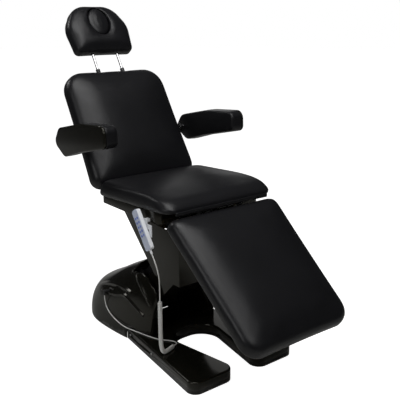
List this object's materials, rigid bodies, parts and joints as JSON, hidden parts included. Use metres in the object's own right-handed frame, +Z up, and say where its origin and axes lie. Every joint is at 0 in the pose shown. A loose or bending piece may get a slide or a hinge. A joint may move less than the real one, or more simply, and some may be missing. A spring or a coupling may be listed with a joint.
{
  "type": "tattoo chair",
  "caption": "Powered tattoo chair with reclining back, sliding headrest, folding armrests, tilting leg section, wired handset and a U-shaped lifting base.",
  "frame": {"origin": "on the floor under the middle of the chair as it stands in the picture", "axes": "+Z up, the sitter faces -Y, +X is the sitter's left"},
  "size_m": [0.796, 1.6344, 1.5958],
  "materials": {
    "gloss_cover": "glossy black moulding",
    "bright_steel": "bright steel",
    "frame_steel": "black powder coat",
    "rubber": "black rubber",
    "matte_case": "fine grained plastic",
    "actuator_case": "grey anodised",
    "rod_chrome": "polished",
    "plywood": "raw plywood",
    "black_leather": "smooth black artificial leather",
    "post_chrome": "polished",
    "pale_plastic": "light grey plastic",
    "keypad_blue": "pale blue keypad",
    "key_blue": "blue keys",
    "cord_grey": "light grey cord"
  },
  "bodies": {
    "base": {"leg_cover": "gloss_cover", "rear_housing": "gloss_cover", "cover_screws": "bright_steel", "base_frame": "frame_steel", "rubber_feet": "rubber", "base_pivot_shafts": "bright_steel", "control_box": "matte_case", "power_inlet": "matte_case", "cord_gland": "matte_case", "lift_actuator_housing": "actuator_case", "cord_lower": "cord_grey", "cord_curl": "cord_grey"},
    "lower_arm": {"lower_lift_arm": "frame_steel", "arm_cover": "gloss_cover"},
    "upper_arm": {"upper_lift_arm": "frame_steel"},
    "lift_rod": {"lift_actuator_rod": "rod_chrome"},
    "carriage": {"seat_frame": "frame_steel", "upper_pivot_shafts": "bright_steel", "back_hinge_shaft": "bright_steel", "leg_hinge_shaft": "bright_steel", "back_actuator_housing": "actuator_case", "leg_actuator_housing": "actuator_case", "actuator_pins": "bright_steel", "neck_cover": "gloss_cover", "seat_tray": "gloss_cover", "seat_board": "plywood", "seat_cushion": "black_leather", "front_strip": "rubber", "handset_body": "pale_plastic", "handset_face": "keypad_blue", "handset_hook": "pale_plastic", "cord_upper": "cord_grey"},
    "back_rod": {"back_actuator_rod": "rod_chrome"},
    "leg_rod": {"leg_actuator_rod": "rod_chrome"},
    "back": {"back_frame": "frame_steel", "back_board": "plywood", "back_cushion": "black_leather", "headrest_guides": "frame_steel", "armrest_bolts": "bright_steel"},
    "headrest": {"headrest_posts": "post_chrome", "headrest_board": "plywood", "headrest_cushion": "black_leather"},
    "face_plug": {"headrest_plug": "black_leather"},
    "left_arm": {"left_armrest_pad": "black_leather", "left_armrest_shell": "gloss_cover"},
    "right_arm": {"right_armrest_pad": "black_leather", "right_armrest_shell": "gloss_cover"},
    "leg": {"leg_frame": "frame_steel", "leg_board": "plywood", "leg_cushion": "black_leather"},
    "key_1": {"key_1": "key_blue"},
    "key_2": {"key_2": "key_blue"},
    "key_3": {"key_3": "key_blue"},
    "key_4": {"key_4": "key_blue"},
    "key_5": {"key_5": "key_blue"},
    "key_6": {"key_6": "key_blue"},
    "key_7": {"key_7": "key_blue"},
    "key_8": {"key_8": "key_blue"},
    "key_9": {"key_9": "key_blue"},
    "key_10": {"key_10": "key_blue"}
  },
  "joints": [
    {"name": "lift", "type": "hinge", "parent": "base", "child": "lower_arm", "pos_m": [0, 0.22, 0.19], "axis": [-1, 0, 0], "range_deg": [-19, 19], "deforming": ["cord_curl"]},
    {"name": "upper_arm_swing", "type": "hinge", "parent": "base", "child": "upper_arm", "pos_m": [0, 0.22, 0.29], "axis": [-1, 0, 0], "range_deg": [-19.5, 19.5]},
    {"name": "carriage_level", "type": "hinge", "parent": "lower_arm", "child": "carriage", "pos_m": [0, -0.06284, 0.47284], "axis": [-1, 0, 0], "range_deg": [-19.5, 19.5]},
    {"name": "lift_rod_slide", "type": "slide", "parent": "base", "child": "lift_rod", "axis": [0, -1, 0], "range_m": [-0.0285, 0.0285]},
    {"name": "back_recline", "type": "hinge", "parent": "carriage", "child": "back", "pos_m": [0, 0.28872, 0.73487], "axis": [-1, 0, 0], "range_deg": [-8, 58]},
    {"name": "back_rod_slide", "type": "slide", "parent": "carriage", "child": "back_rod", "axis": [0, -1, 0], "range_m": [-0.0145, 0.103]},
    {"name": "leg_raise", "type": "hinge", "parent": "carriage", "child": "leg", "pos_m": [0, -0.289, 0.749], "axis": [-1, 0, 0], "range_deg": [-9, 38]},
    {"name": "leg_rod_slide", "type": "slide", "parent": "carriage", "child": "leg_rod", "axis": [0, -1, 0], "range_m": [-0.019, 0.0785]},
    {"name": "headrest_slide", "type": "slide", "parent": "back", "child": "headrest", "axis": [0, 0.521, 0.8536], "range_m": [-0.085, 0.05]},
    {"name": "face_plug_pull", "type": "slide", "parent": "headrest", "child": "face_plug", "axis": [0, -0.8536, 0.521], "range_m": [0, 0.08]},
    {"name": "left_armrest_fold", "type": "hinge", "parent": "back", "child": "left_arm", "pos_m": [0, 0.43512, 0.97472], "axis": [-1, 0, 0], "range_deg": [0, 100]},
    {"name": "right_armrest_fold", "type": "hinge", "parent": "back", "child": "right_arm", "pos_m": [0, 0.43512, 0.97472], "axis": [-1, 0, 0], "range_deg": [0, 100]},
    {"name": "key_1_press", "type": "slide", "parent": "carriage", "child": "key_1", "axis": [1, 0, 0], "range_m": [0, 0.0012], "stiffness_N_per_m": 400},
    {"name": "key_2_press", "type": "slide", "parent": "carriage", "child": "key_2", "axis": [1, 0, 0], "range_m": [0, 0.0012], "stiffness_N_per_m": 400},
    {"name": "key_3_press", "type": "slide", "parent": "carriage", "child": "key_3", "axis": [1, 0, 0], "range_m": [0, 0.0012], "stiffness_N_per_m": 400},
    {"name": "key_4_press", "type": "slide", "parent": "carriage", "child": "key_4", "axis": [1, 0, 0], "range_m": [0, 0.0012], "stiffness_N_per_m": 400},
    {"name": "key_5_press", "type": "slide", "parent": "carriage", "child": "key_5", "axis": [1, 0, 0], "range_m": [0, 0.0012], "stiffness_N_per_m": 400},
    {"name": "key_6_press", "type": "slide", "parent": "carriage", "child": "key_6", "axis": [1, 0, 0], "range_m": [0, 0.0012], "stiffness_N_per_m": 400},
    {"name": "key_7_press", "type": "slide", "parent": "carriage", "child": "key_7", "axis": [1, 0, 0], "range_m": [0, 0.0012], "stiffness_N_per_m": 400},
    {"name": "key_8_press", "type": "slide", "parent": "carriage", "child": "key_8", "axis": [1, 0, 0], "range_m": [0, 0.0012], "stiffness_N_per_m": 400},
    {"name": "key_9_press", "type": "slide", "parent": "carriage", "child": "key_9", "axis": [1, 0, 0], "range_m": [0, 0.0012], "stiffness_N_per_m": 400},
    {"name": "key_10_press", "type": "slide", "parent": "carriage", "child": "key_10", "axis": [1, 0, 0], "range_m": [0, 0.0012], "stiffness_N_per_m": 400}
  ],
  "couplings": [
    {"joint": "upper_arm_swing", "follows": "lift", "ratio": 1},
    {"joint": "carriage_level", "follows": "lift", "ratio": -1},
    {"joint": "lift_rod_slide", "follows": "lift", "m_per_rad": 0.0842},
    {"joint": "back_rod_slide", "follows": "back_recline", "m_per_rad": 0.1012},
    {"joint": "leg_rod_slide", "follows": "leg_raise", "m_per_rad": 0.1175}
  ]
}
